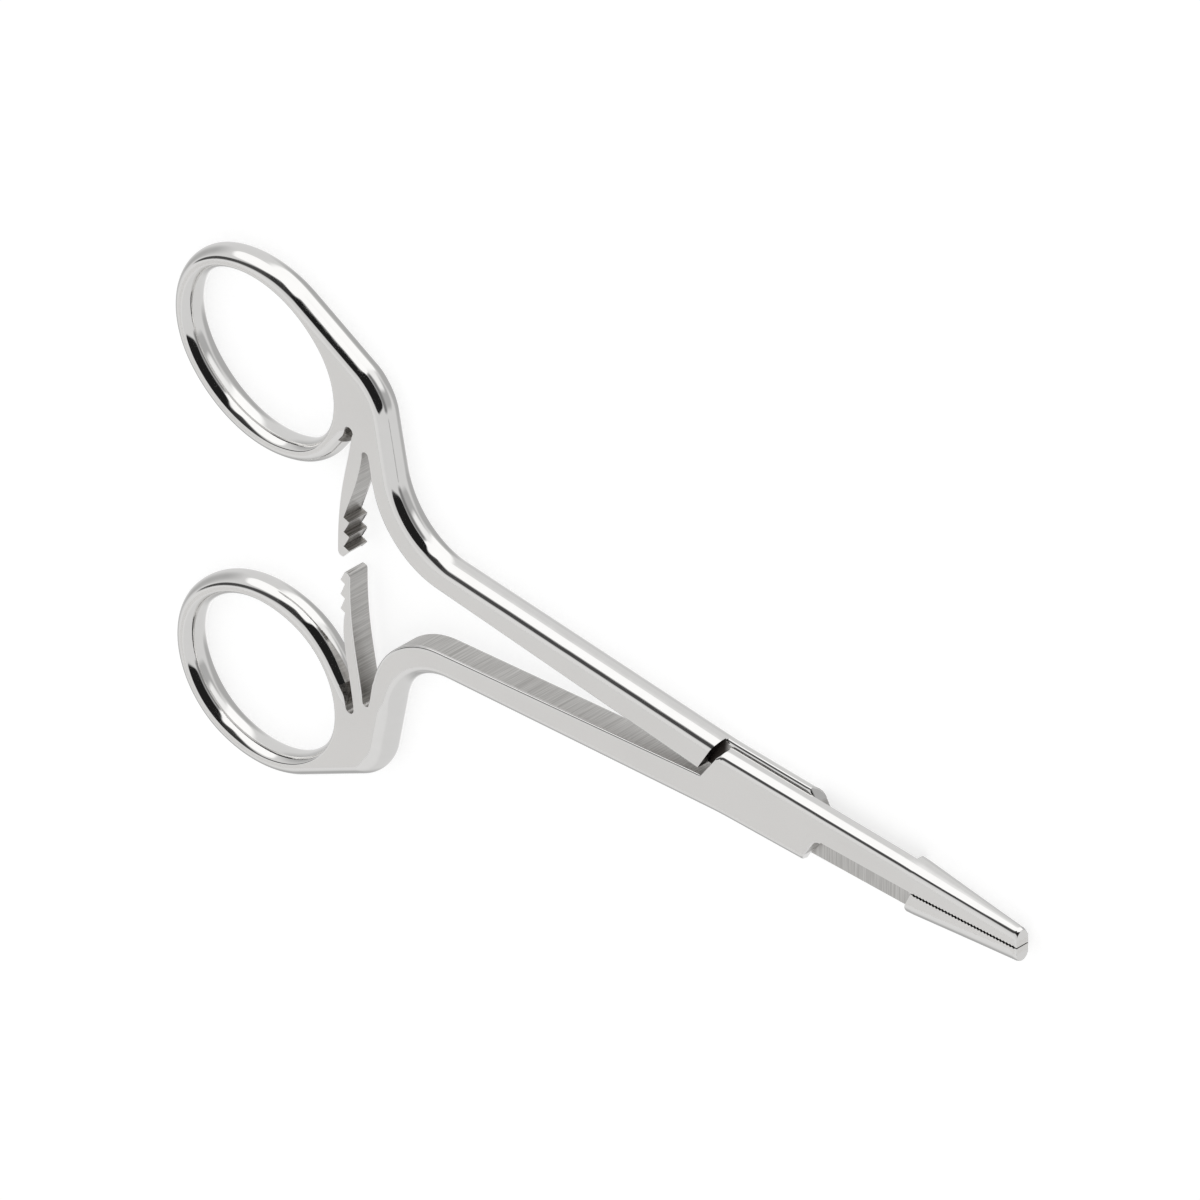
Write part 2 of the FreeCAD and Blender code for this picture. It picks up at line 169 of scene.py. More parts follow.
class Outline:
    """Closed outline at the flat faces, drawn clockwise with the metal on its right.

    Each sample has a place, an outward normal (left of the travel), a crown, a finish, two edge
    radii, and a limit line (outward normal and distance) that its crown doesn't pass.
    """

    def __init__(self, start):
        self.at = np.array(start, float)
        self.runs = []

    def add(self, points, normals, wall, limit):
        """Keeps one run of samples; the limit is a travelling line with the metal on its right."""
        count = len(points)
        row = np.array([*wall, 0.0, 0.0, 1.0])
        if limit is not None:
            out = np.array([-limit[1][1], limit[1][0]])
            row[4:] = [*out, float(out @ limit[0])]
        self.runs.append(np.column_stack([points, normals, np.repeat(row[None], count, 0)]))
        self.at = points[-1]

    def to(self, point, wall=CUT, limit=None):
        """Straight run: start + s (end - start), with s in even steps."""
        start, end = self.at, np.array(point, float)
        run = end - start
        length = float(np.hypot(*run))
        if length < LEAST:
            return
        s = np.linspace(0.0, 1.0, max(2, int(length / STEP) + 2))[:, None]
        out = np.array([-run[1], run[0]]) / length
        self.add(start + s * run, np.repeat(out[None], len(s), 0), wall, limit)

    def arc(self, centre, angle, wall=CUT, limit=None):
        """Arc: the radius arm turned round the centre by t times the angle."""
        centre = np.array(centre, float)
        arm = self.at - centre
        radius = float(np.hypot(*arm))
        sweep = radians(angle)
        steps = max(3, int(max(abs(angle) / TURN_STEP, radius * abs(sweep) / STEP)) + 1)
        t = np.linspace(0.0, sweep, steps + 1)
        c, s = np.cos(t), np.sin(t)
        spokes = np.stack([arm[0] * c - arm[1] * s, arm[0] * s + arm[1] * c], 1)
        side = -1.0 if angle > 0 else 1.0
        self.add(centre + spokes, side * spokes / radius, wall, limit)

    def half_turn(self, centre, radius, before):
        """Straight to the slot's side, then half round the slot's end."""
        self.to((centre[0] + radius, centre[1]), before)
        self.arc(centre, 180.0, WEB)

    def turn(self, a, b, radius, before=CUT, after=None, limit=None):
        """Along line a, then round the tangent arc of the given radius onto line b."""
        cross = a[1][0] * b[1][1] - a[1][1] * b[1][0]
        angle = atan2(cross, float(a[1] @ b[1]))
        start = meet(a, b) - a[1] * radius * tan(abs(angle) / 2)
        side = radius if angle > 0 else -radius
        centre = start + np.array([-a[1][1], a[1][0]]) * side
        self.to(start, before, limit)
        self.arc(centre, degrees(angle), before if after is None else after, limit)

    def curve(self, poles, wall):
        """Cubic Bezier: (1-t)^3 p0 + 3t(1-t)^2 p1 + 3t^2(1-t) p2 + t^3 p3."""
        p = [self.at] + [np.array(q, float) for q in poles]
        t = np.linspace(0.0, 1.0, CURVE_STEPS + 1)[:, None]
        r = 1 - t
        points = r ** 3 * p[0] + 3 * t * r ** 2 * p[1] + 3 * t ** 2 * r * p[2] + t ** 3 * p[3]
        run = 3 * r ** 2 * (p[1] - p[0]) + 6 * t * r * (p[2] - p[1]) + 3 * t ** 2 * (p[3] - p[2])
        run /= np.linalg.norm(run, axis=1)[:, None]
        self.add(points, np.stack([-run[:, 1], run[:, 0]], 1), wall, None)

    def samples(self):
        """All samples, one to a place; where runs meet, the normal is (n1 + n2) / (1 + n1.n2)."""
        rows = np.concatenate(self.runs)
        repeats = np.linalg.norm(rows[:, :2] - np.roll(rows[:, :2], 1, 0), axis=1) < LEAST
        after = np.roll(rows, -1, 0)
        meets = np.roll(repeats, -1)
        n1, n2 = rows[meets, 2:4], after[meets, 2:4]
        joined = rows.copy()
        joined[meets, 2:4] = (n1 + n2) / (1.0 + (n1 * n2).sum(1, keepdims=True))
        joined[meets, 4] = np.minimum(rows[:, 4], after[:, 4])[meets]
        joined[meets, 5] = after[meets, 5]
        joined[meets, 6:8] = np.minimum(rows[:, 6:8], after[:, 6:8])[meets]
        joined = joined[~repeats]
        gap = np.linalg.norm(joined[:, :2] - np.roll(joined[:, :2], 1, 0), axis=1)[:, None]
        for _ in range(EASE_PASSES):
            before = np.roll(joined[:, 6:8], 1, 0) + EDGE_EASE * gap
            behind = np.roll(joined[:, 6:8] + EDGE_EASE * gap, -1, 0)
            joined[:, 6:8] = np.minimum(joined[:, 6:8], np.minimum(before, behind))
        return joined


class Oval:
    """Four-centred oval round the ring's hole, grown by a margin.

    Its ends have radius e on centres at a - e, its sides radius s on centres at s - b, and the two
    are tangent where s = (a^2 + b^2 - 2 a e) / (2 (b - e)), with half axes a and b.
    """

    def __init__(self, grow=0.0):
        end_r = HOLE_ROUNDING * HOLE_SHORT
        squares = HOLE_LONG ** 2 + HOLE_SHORT ** 2
        side_r = (squares - 2 * HOLE_LONG * end_r) / (2 * (HOLE_SHORT - end_r))
        self.end = HOLE_LONG - end_r
        self.side = side_r - HOLE_SHORT
        self.end_r = end_r + grow
        self.side_r = side_r + grow
        self.joint = degrees(atan2(self.side, self.end))

    def arc_at(self, normal):
        """Centre and radius of the arc whose outward normal has this angle from the long axis."""
        turned = normal % 360.0
        if turned < self.joint or turned > 360.0 - self.joint:
            return self.placed(self.end, 0.0), self.end_r
        if turned < 180.0 - self.joint:
            return self.placed(0.0, -self.side), self.side_r
        if turned < 180.0 + self.joint:
            return self.placed(-self.end, 0.0), self.end_r
        return self.placed(0.0, self.side), self.side_r

    def placed(self, x, y):
        """Point of the oval's own axes, turned by the tilt and moved to the ring's centre."""
        ux, uy = direction(RING_TILT)
        return np.array([RING_X + x * ux - y * uy, RING_Y + x * uy + y * ux])

    def point(self, normal):
        """Centre of the arc plus its radius along the normal."""
        centre, radius = self.arc_at(normal)
        return centre + direction(normal + RING_TILT) * radius

    def draw(self, outline, start, end, wall):
        """Clockwise from one normal angle to another, an arc at a time."""
        joints = [self.joint, 180.0 - self.joint, 180.0 + self.joint, 360.0 - self.joint]
        stops = [stop + turn for turn in (360.0, 0.0, -360.0) for stop in reversed(joints)]
        marks = [start] + [stop for stop in stops if end < stop < start] + [end]
        for first, last in zip(marks, marks[1:]):
            centre, _ = self.arc_at((first + last) / 2)
            outline.arc(centre, last - first, wall)


def half_outline():
    """Outline of half A at its flat faces, clockwise from the jaw tip."""
    grip_y = -JAW_GAP / 2
    tip = line((TIP_X, grip_y), -90.0)
    jaw_out = (JAW_ROOT_OUT, -JAW_ROOT_HALF_W)
    jaw_side = line_through((TIP_X, -TIP_HALF_W), jaw_out)
    plate_side = line_through(jaw_out, PLATE_TAIL)
    plate_rear = line_through(PLATE_TAIL, PLATE_IN)
    shank_in = line(SHANK_IN, SHANK_IN_DIR + 180.0)
    neck_in = line((NECK_SLOT[0] + NECK_SLOT_R, NECK_SLOT[1]), NECK_IN_DIR + 180.0)
    slot_wall = line((RING_SLOT[0] - RING_SLOT_R, RING_SLOT[1]), -90.0)
    neck_out = line(NECK_TOP, NECK_OUT_DIR)
    shank_out = line(SHANK_OUT, SHANK_OUT_DIR)
    plate_out = line(SHOULDER_OUT, PLATE_OUT_DIR)
    shoulder = line((PLATE_END, SHOULDER_OUT[1]), PLATE_END_DIR)
    edge_end = (JAW_ROOT_IN - JAW_ROOT_CLEARANCE, EDGE_OVERLAP_END)
    edge = line_through((PLATE_END, EDGE_OVERLAP_ROOT), edge_end)
    rim = Oval(RIM)
    side_at = SIDE_NORMAL - RING_TILT
    flank_at = FLANK_NORMAL - RING_TILT
    ring_side = line(rim.point(side_at), SIDE_NORMAL - 90.0)

    path = Outline((TIP_X, grip_y))
    path.turn(tip, jaw_side, TIP_CORNER_R, TIP, JAW, tip)
    path.turn(jaw_side, plate_side, PLATE_BEND_R, JAW)
    path.turn(plate_side, plate_rear, PLATE_TAIL_R, JAW, JAW, plate_rear)
    path.to(meet(plate_rear, shank_in))
    path.turn(shank_in, neck_in, BEND_IN_R, SHANK_CUT)
    path.half_turn(NECK_SLOT, NECK_SLOT_R, CUT)
    path.half_turn(RING_SLOT, RING_SLOT_R, WEB)
    path.to(between(path.at, rim.point(flank_at), FLANK_SHADED), FLANK, slot_wall)
    path.to(rim.point(flank_at), FULL, slot_wall)
    rim.draw(path, flank_at, side_at - 360.0, FULL)
    path.turn(ring_side, neck_out, CORNER_R, FULL, NECK)
    path.turn(neck_out, shank_out, BEND_OUT_R, NECK, FULL)
    path.turn(shank_out, plate_out, PLATE_BEND_R, FULL)
    path.turn(plate_out, shoulder, PLATE_END_R, FULL, FULL, shoulder)
    path.turn(shoulder, edge, BLADE_ROOT_R)
    path.to(edge_end)
    path.to((JAW_ROOT_IN, grip_y))
    path.to((TIP_X, grip_y), GRIP)
    return path


def hole_outline():
    """Outline of the finger hole, clockwise."""
    hole = Oval()
    path = Outline(hole.point(0.0))
    hole.draw(path, 0.0, -360.0, HOLE)
    return path


def bulge(x, crown, half_t):
    """Circular segment over the thickness: c - x^2 / (r + sqrt(r^2 - x^2)), r = (h^2 + c^2) / 2c."""
    c = np.maximum(crown, LEAST)
    r = (half_t ** 2 + c ** 2) / (2 * c)
    return c - x ** 2 / (r + np.sqrt(r ** 2 - x ** 2))


def side_wall(samples, thickness, facing):
    """Side wall as a grid that closes on itself: place + facing * normal * d, at height z.

    Across the thickness d and z follow a quadratic Bezier from (-e, 0) round the edge (0, 0) to the
    bulge, then the bulge, then such an edge mirrored. The limit line holds d back.
    """
    half_t = thickness / 2
    points, normals = samples[:, :2], samples[:, 2:4] * facing
    crown = samples[:, 4][:, None]
    front, back = (np.maximum(samples[:, k], SHARP_EDGE_R)[:, None] for k in (6, 7))
    slope = np.cos(2 * np.arctan(crown / half_t))
    u = np.linspace(0.0, 1.0, EDGE_STEPS + 1)[None, :]

    def edge(radius):
        """Distances and heights over one rounded edge, for the share u."""
        rise = radius * slope
        return -radius * (1 - u) ** 2 + bulge(rise - half_t, crown, half_t) * u ** 2, rise * u ** 2

    (back_d, back_z), (front_d, front_z) = edge(back), edge(front)
    span = thickness - (back + front) * slope
    middle_z = back * slope + span * np.linspace(0.0, 1.0, CROWN_STEPS + 1)[None, 1:-1]
    middle_d = bulge(middle_z - half_t, crown, half_t)
    z = np.concatenate([back_z, middle_z, thickness - front_z[:, ::-1]], 1)
    d = np.concatenate([back_d, middle_d, front_d[:, ::-1]], 1)
    limit, far = samples[:, 8:10], samples[:, 10]
    room = (far - (limit * points).sum(1)) / np.maximum((limit * normals).sum(1), 1e-3)
    limited = (limit ** 2).sum(1)[:, None] > 0
    d = np.where(limited, np.minimum(d, np.maximum(room, 0.0)[:, None]), d)
    xy = points[:, None, :] + normals[:, None, :] * d[:, :, None]
    return np.concatenate([xy, z[:, :, None]], 2)


def ring_faces(count, rows, first, flip):
    """Quads of a grid that closes on itself along its first direction."""
    i = np.arange(count)[:, None]
    j = np.arange(rows - 1)[None, :]
    k = (i + 1) % count
    quads = np.stack([i * rows + j, k * rows + j, k * rows + j + 1, i * rows + j + 1], 2)
    quads = quads.reshape(-1, 4) + first
    return quads[:, ::-1] if flip else quads


def plate(name, outlines, z0, thickness):
    """Closed plate between two flat faces: the first outline bounds it, the others are holes in it."""
    vertices, faces, finishes, backs, fronts, corners, first = [], [], [], [], [], [], 0
    for index, outline in enumerate(outlines):
        samples = outline.samples()
        clockwise = loop_area(samples[:, :2]) < 0
        wall = side_wall(samples, thickness, 1.0 if index == 0 else -1.0)
        count, rows = wall.shape[:2]
        vertices.append(wall.reshape(-1, 3))
        faces.append(ring_faces(count, rows, first, clockwise == (index == 0)))
        across = np.repeat(samples[:, 5][:, None], rows - 1, 1)
        across[:, :EDGE_STEPS] = across[:, -EDGE_STEPS:] = POLISHED
        finishes.append(across.ravel())
        backs.append(wall[:, 0, :2])
        fronts.append(wall[:, -1, :2])
        corners.append(first + np.arange(count) * rows)
        first += count * rows
    bottom = np.concatenate(corners)
    back, front = flat_triangles(backs), flat_triangles(fronts)
    faces += [(bottom + rows - 1)[front], bottom[back][:, ::-1]]
    finishes.append(np.full(len(front) + len(back), SATIN))
    vertices = np.concatenate(vertices) + np.array([0.0, 0.0, z0])
    return mesh_object(name, vertices, faces, np.concatenate(finishes))


def flat_triangles(loops):
    """Triangles that fill the first loop and leave the others open, counter-clockwise."""
    xy = np.concatenate(loops)
    flat = np.column_stack([xy, np.zeros(len(xy))])
    stops = np.cumsum([len(loop) for loop in loops])[:-1]
    polygons = [[Vector(p) for p in loop] for loop in np.split(flat, stops)]
    triangles = np.array(tessellate_polygon(polygons))
    a, b, c = (xy[triangles[:, k]] for k in range(3))
    turn = (b[:, 0] - a[:, 0]) * (c[:, 1] - a[:, 1]) - (b[:, 1] - a[:, 1]) * (c[:, 0] - a[:, 0])
    return triangles if turn.sum() > 0 else triangles[:, ::-1]


def mesh_object(name, vertices, faces, finishes):
    """A mesh from vertices in millimetres, a list of face arrays and a finish for each face."""
    mesh = bpy.data.meshes.new(name)
    sizes = np.concatenate([np.full(len(f), f.shape[1]) for f in faces])
    corners = np.concatenate([f.reshape(-1) for f in faces]).astype(np.int32)
    mesh.vertices.add(len(vertices))
    mesh.vertices.foreach_set("co", (vertices * MM).astype(np.float32).ravel())
    mesh.loops.add(len(corners))
    mesh.loops.foreach_set("vertex_index", corners)
    mesh.polygons.add(len(sizes))
    starts = np.concatenate([[0], np.cumsum(sizes)[:-1]]).astype(np.int32)
    mesh.polygons.foreach_set("loop_start", starts)
    for material in STEELS:
        mesh.materials.append(material)
    mesh.polygons.foreach_set("material_index", finishes.astype(np.int32))
    mesh.update(calc_edges=True)
    mesh.validate()
    piece = bpy.data.objects.new(name, mesh)
    bpy.context.scene.collection.objects.link(piece)
    return piece


def loop_area(xy):
    """Signed area of a polygon: half the sum of x y' - y x', positive when counter-clockwise."""
    after = np.roll(xy, -1, 0)
    return (xy[:, 0] * after[:, 1] - xy[:, 1] * after[:, 0]).sum() / 2


def prism(name, xy, z0, z1, finish):
    """Closed cutting block over a polygon, between two heights."""
    xy = np.array(xy, float)
    if loop_area(xy) < 0:
        xy = xy[::-1]
    n = len(xy)
    i = np.arange(n)
    k = (i + 1) % n
    triangles = flat_triangles([xy])
    vertices = np.concatenate([np.column_stack([xy, np.full(n, z)]) for z in (z0, z1)])
    faces = [np.stack([i, k, k + n, i + n], 1), triangles + n, triangles[:, ::-1]]
    return mesh_object(name, vertices, faces, np.full(n + 2 * len(triangles), finish))


def boolean(piece, tools, operation):
    """Joins or cuts the piece with closed tools, which are then removed."""
    for tool in tools:
        step = piece.modifiers.new("step", "BOOLEAN")
        step.operation = operation
        step.object = tool
        step.solver = "MANIFOLD"
        before = len(piece.data.vertices)
        shaped = bpy.data.meshes.new_from_object(
            piece.evaluated_get(bpy.context.evaluated_depsgraph_get()))
        piece.modifiers.clear()
        piece.data = shaped
        if len(shaped.vertices) == before:
            raise ValueError(f"{tool.name} changed nothing")
        bpy.data.objects.remove(tool)
    return piece


def arm(shape, out, z0):
    """Ratchet arm as in the part: smooth side, rounded nose, teeth, swelling, root."""
    left_root = (RING_SLOT[0] + RING_SLOT_R, RING_SLOT[1])
    right_root = (NECK_SLOT[0] - NECK_SLOT_R, NECK_SLOT[1])
    smooth, toothed = (left_root, right_root) if out > 0 else (right_root, left_root)
    end_y, back_x, tip_x = shape["end_y"], RING_X + shape["back"], RING_X + shape["teeth"]
    valley_x = tip_x - out * shape["depth"]
    first_y = end_y + shape["nose"]
    last_y = first_y + TEETH * TOOTH_PITCH
    across, along = ARM_ROOT_POLE
    path = Outline(smooth)
    path.curve([
        (between(smooth[0], back_x, across), between(smooth[1], end_y, along)),
        (back_x, between(smooth[1], end_y, ARM_BACK_POLE)),
        (back_x, end_y + 2 * ARM_NOSE_R),
    ], ARM_CUT)
    nose = line((0.0, end_y), 0.0 if out > 0 else 180.0)
    ramp = line_through((valley_x, end_y), (tip_x, first_y))
    path.turn(line((back_x, end_y), -90.0), nose, ARM_NOSE_R, ARM_CUT)
    path.turn(nose, ramp, ARM_NOSE_R / 2, ARM_CUT)
    for tooth in range(TEETH):
        y = first_y + tooth * TOOTH_PITCH
        path.to((tip_x, y), ARM_CUT)
        path.to((valley_x, y + TOOTH_LEAN), CATCH)
    path.curve([
        (valley_x + out * shape["belly"], between(last_y, toothed[1], ARM_BELLY_POLE)),
        (between(toothed[0], tip_x, across), between(toothed[1], end_y, along)),
        toothed,
    ], ARM_CUT)
    path.to((toothed[0], toothed[1] + ARM_ROOT), WEB)
    path.to((smooth[0], smooth[1] + ARM_ROOT), WEB)
    path.to(smooth, WEB)
    return plate("arm", [path], z0, ARM_T)


def lap_pocket():
    """Block milled out for the other half: above the lap, from the shoulder to the jaw.

    The jaw's root ends in an arc: start + r (left (1 - cos t) + down sin t), with t up to its turn.
    """
    reach = 2 * BODY_T
    inner = line_through(SHOULDER_OUT, SHOULDER_IN)
    root = line_through((JAW_ROOT_IN, 0.0), (JAW_ROOT_OUT, -JAW_ROOT_HALF_W))
    high = line((0.0, SHOULDER_OUT[1] + reach), 0.0)
    low = line((0.0, -JAW_ROOT_HALF_W - reach), 0.0)
    down = root[1]
    start = np.array((JAW_ROOT_OUT, -JAW_ROOT_HALF_W)) - down * PAD_CORNER_IN
    left = np.array([-down[1], down[0]])
    turned = np.radians(np.linspace(0.0, PAD_CORNER_TURN, PAD_CORNER_STEPS + 1))[:, None]
    rounding = start + PAD_CORNER_R * (left * (1 - np.cos(turned)) + down * np.sin(turned))
    onward = left * sin(turned[-1, 0]) + down * cos(turned[-1, 0])
    corners = [meet(root, high), *rounding, rounding[-1] + onward * reach,
               meet(inner, low), meet(inner, high)]
    return prism("pocket", corners, HALF_T - LAP_GAP / 2, BODY_T + SPARE, LAPPED)


def lap_edge():
    """Rounds the lap's outer edge: a quarter ellipse swept along the outline to the plate's end.

    Its points are w (cos t - 1) out from the crown's top and h (sin t - 1) up from the lap. It starts
    a margin before the shoulder, and its other sides stand clear of the metal.
    """
    rows = half_outline().samples()
    outer = side_wall(rows, BODY_T, 1.0)[:, EDGE_STEPS + CROWN_STEPS // 2, :2]
    kept = rows[:, 0] > SHOULDER_OUT[0] + LAP_EDGE_MARGIN
    kept &= rows[:, 1] > SHOULDER_OUT[1] - LAP_EDGE_MARGIN
    outer, out = outer[kept], rows[kept, 2:4]
    t = np.linspace(pi / 2, 0.0, LAP_EDGE_STEPS + 1)
    clear = LAP_EDGE_CLEAR
    across = np.concatenate([[-LAP_EDGE_W], LAP_EDGE_W * (np.cos(t) - 1.0), [2 * clear, 2 * clear]])
    height = np.concatenate([[clear], LAP_EDGE_H * (np.sin(t) - 1.0), [-LAP_EDGE_H, clear]])
    height += HALF_T - LAP_GAP / 2
    xy = outer[:, None, :] + out[:, None, :] * across[None, :, None]
    heights = np.broadcast_to(height[None, :, None], (*xy.shape[:2], 1))
    return swept_block("lap_edge", np.concatenate([xy, heights], 2), POLISHED)


def taper_jaw(piece):
    """Thins the jaw evenly: distance from the middle times 1 - k s, s running from root to tip."""
    work = bmesh.new()
    work.from_mesh(piece.data)
    everything = work.verts[:] + work.edges[:] + work.faces[:]
    root = (JAW_ROOT_IN * MM, 0.0, 0.0)
    bmesh.ops.bisect_plane(work, geom=everything, dist=1e-7, plane_co=root, plane_no=(1.0, 0.0, 0.0))
    work.to_mesh(piece.data)
    work.free()
    places = np.zeros(3 * len(piece.data.vertices), np.float32)
    piece.data.vertices.foreach_get("co", places)
    x, z = places[0::3] / MM, places[2::3]
    s = np.clip((x - JAW_ROOT_IN) / (TIP_X - JAW_ROOT_IN), 0.0, 1.0)
    places[2::3] = HALF_T * MM + (z - HALF_T * MM) * (1.0 - (1.0 - TIP_T / BODY_T) * s)
    piece.data.vertices.foreach_set("co", places)
    piece.data.update()


def swept_block(name, profiles, finish):
    """Closed block through a row of profiles (profile, point, xyz), turned outward by its volume."""
    count, n = profiles.shape[:2]
    i = (np.arange(count - 1) * n)[:, None]
    j = np.arange(n)[None, :]
    k = (j + 1) % n
    walls = np.stack([i + j, i + k, i + k + n, i + j + n], 2).reshape(-1, 4)
    faces = [walls, j[:, ::-1], j + (count - 1) * n]
    vertices = profiles.reshape(-1, 3)
    about = vertices - vertices.mean(0)
    a, b, c, d = (about[walls[:, k]] for k in range(4))
    if (np.cross(a, b) * c + np.cross(a, c) * d).sum() < 0:
        faces = [face[:, ::-1] for face in faces]
    return mesh_object(name, vertices, faces, np.full(len(walls) + 2, finish))


def edge_grinding():
    """Wedge that leans the cutting face back, so that only its edge at the lap cuts."""
    x0, x1 = PLATE_END + 2 * BLADE_ROOT_R, JAW_ROOT_IN - JAW_ROOT_CLEARANCE
    wide = EDGE_OVERLAP_ROOT + SPARE
    rows = []
    for x, y in ((x0, EDGE_OVERLAP_ROOT), (x1, EDGE_OVERLAP_END)):
        rows.append([(x, y, HALF_T), (x, y - EDGE_RELIEF, 0.0), (x, y - EDGE_RELIEF, -SPARE),
                     (x, wide, -SPARE), (x, wide, HALF_T)])
    return swept_block("grinding", np.array(rows), GROUND)


def serration_cutter():
    """One comb of V grooves across the gripping face: depth is a triangle wave along X."""
    grip_y = -JAW_GAP / 2
    grooves = int((TIP_X - JAW_ROOT_IN) / SERRATION_PITCH) - 1
    corners = np.arange(2 * grooves + 1)
    x = JAW_ROOT_IN + SERRATION_PITCH * (corners + 1) / 2
    y = np.where(corners % 2 == 1, grip_y - SERRATION_DEPTH, grip_y + SERRATION_LIP)
    comb = np.stack([x, y], 1)
    lid = np.array([[x[-1], grip_y + SPARE], [x[0], grip_y + SPARE]])
    # The grooves take the darker ground finish, whose dark tones are painted shade
    return prism("comb", np.concatenate([comb, lid]), -SPARE, BODY_T + SPARE, SHADED_GROUND)


def cylinder(name, radius, z0, z1):
    """Closed round cutter on the pivot's axis: r (cos t, sin t) between two heights."""
    angle = np.linspace(0.0, 2 * pi, CYLINDER_SIDES, endpoint=False)
    return prism(name, np.stack([np.cos(angle), np.sin(angle)], 1) * radius, z0, z1, GROUND)


def half(name, ratchet_arm, round_cuts, flip):
    """One half: the crowned plate with its arm, then every milled and ground cut."""
    piece = plate(name, [half_outline(), hole_outline()], 0.0, BODY_T)
    taper_jaw(piece)
    boolean(piece, [ratchet_arm], "UNION")
    cuts = [lap_pocket(), lap_edge(), edge_grinding(), serration_cutter(), *round_cuts]
    boolean(piece, cuts, "DIFFERENCE")
    if flip:
        turn = Matrix.Translation((0, 0, HALF_T * MM)) @ Matrix.Rotation(pi, 4, "X")
        piece.data.transform(turn @ Matrix.Translation((0, 0, -HALF_T * MM)))
    shade(piece.data)
    return piece


def shade(mesh):
    """Smooth normals, with sharp edges at corners, between finishes and where flat faces meet."""
    mesh.polygons.foreach_set("use_smooth", np.ones(len(mesh.polygons), bool))
    mesh.set_sharp_from_angle(angle=radians(CORNER_ANGLE))
    sharp = mesh.attributes["sharp_edge"].data
    held = np.zeros(len(mesh.edges), bool)
    sharp.foreach_get("value", held)
    finish = np.zeros(len(mesh.polygons), np.int32)
    mesh.polygons.foreach_get("material_index", finish)
    normals = np.zeros(3 * len(mesh.polygons), np.float32)
    mesh.polygons.foreach_get("normal", normals)
    sizes = np.zeros(len(mesh.polygons), np.int32)
    mesh.polygons.foreach_get("loop_total", sizes)
    loop_edge = np.zeros(len(mesh.loops), np.int32)
    mesh.loops.foreach_get("edge_index", loop_edge)
    owner = np.repeat(np.arange(len(sizes)), sizes)
    order = np.argsort(loop_edge, kind="stable")
    one, two = owner[order][0::2], owner[order][1::2]
    normals = normals.reshape(-1, 3)
    bent = (normals[one] * normals[two]).sum(1) < cos(radians(FLAT_ANGLE))
    held |= (finish[one] != finish[two]) | ((finish[one] == SATIN) & bent)
    sharp.foreach_set("value", held)


class Nodes:
    """A material's or world's node tree, with short calls that add a node and link its inputs."""

    def __init__(self, tree):
        self.tree = tree

    def add(self, kind, values=None, **settings):
        """A new node; a value that is another node's output is linked, any other is set."""
        node = self.tree.nodes.new(kind)
        for key, value in settings.items():
            setattr(node, key, value)
        for key, value in (values or {}).items():
            if isinstance(value, bpy.types.NodeSocket):
                self.tree.links.new(value, node.inputs[key])
            else:
                node.inputs[key].default_value = value
        return node

    def math(self, operation, a, b=0.0):
        """Output of one operation on two values."""
        return self.add("ShaderNodeMath", {0: a, 1: b}, operation=operation).outputs[0]

    def ramp(self, value, low, high, to_low=0.0, to_high=1.0):
        """Smooth step: low + (high - low) t t (3 - 2 t), t running from 0 to 1 between two inputs."""
        values = {"Value": value, "From Min": low, "From Max": high,
                  "To Min": to_low, "To Max": to_high}
        step = self.add("ShaderNodeMapRange", values, interpolation_type="SMOOTHSTEP")
        return step.outputs["Result"]

    def noise(self, stretch, detail=3.0, roughness=0.5):
        """Noise on Object coordinates, with features 1 / stretch metres long on each axis."""
        place = self.add("ShaderNodeTexCoord").outputs["Object"]
        spread = self.add("ShaderNodeVectorMath", {0: place, 1: stretch}, operation="MULTIPLY")
        values = {"Vector": spread.outputs[0], "Scale": 1.0, "Detail": detail, "Roughness": roughness}
        return self.add("ShaderNodeTexNoise", values).outputs["Fac"]

    def tint(self, value, dark, light):
        """Colour dark + (light - dark) times a value from 0 to 1."""
        values = {0: value, 6: (*dark, 1.0), 7: (*light, 1.0)}
        return self.add("ShaderNodeMix", values, data_type="RGBA").outputs[2]

    def bump(self, height, distance):
        """Normal of a relief of the given depth in metres."""
        values = {"Height": height, "Distance": distance, "Strength": 1.0}
        return self.add("ShaderNodeBump", values).outputs["Normal"]


def steel(name):
    """A metal whose finish the caller gives through its nodes."""
    material = bpy.data.materials.new(name)
    material.use_nodes = True
    nodes = Nodes(material.node_tree)
    shader = material.node_tree.nodes["Principled BSDF"]
    shader.inputs["Metallic"].default_value = 1.0

    def finish(**sockets):
        """Links each node output to the shader input of its name and returns the material."""
        for key, value in sockets.items():
            material.node_tree.links.new(value, shader.inputs[key.replace("_", " ")])
        return material
    return nodes, finish


def mirror_polish():
    """Buffed sides: a slight waviness from hand polishing and faint buffing haze."""
    nodes, finish = steel("mirror_polish")
    haze = nodes.noise((700.0, 700.0, 700.0))
    wave = nodes.noise((160.0, 160.0, 160.0), 1.0)
    return finish(Base_Color=nodes.tint(haze, (0.83, 0.822, 0.81), (0.87, 0.863, 0.853)),
                  Roughness=nodes.ramp(haze, 0.3, 0.7, 0.05, 0.11),
                  Normal=nodes.bump(wave, 0.00005))


def satin_face():
    """Fine-blasted flat faces, warm grey, with a tight grain."""
    nodes, finish = steel("satin_face")
    grain = nodes.noise((9000.0, 9000.0, 9000.0), 2.0)
    cloud = nodes.noise((120.0, 120.0, 120.0), 2.0)
    tone = nodes.math("ADD", nodes.math("MULTIPLY", grain, 0.6), nodes.math("MULTIPLY", cloud, 0.4))
    return finish(Base_Color=nodes.tint(tone, (0.80, 0.785, 0.765), (0.89, 0.88, 0.865)),
                  Roughness=nodes.ramp(cloud, 0.2, 0.8, 0.34, 0.42),
                  Normal=nodes.bump(grain, 0.000004))


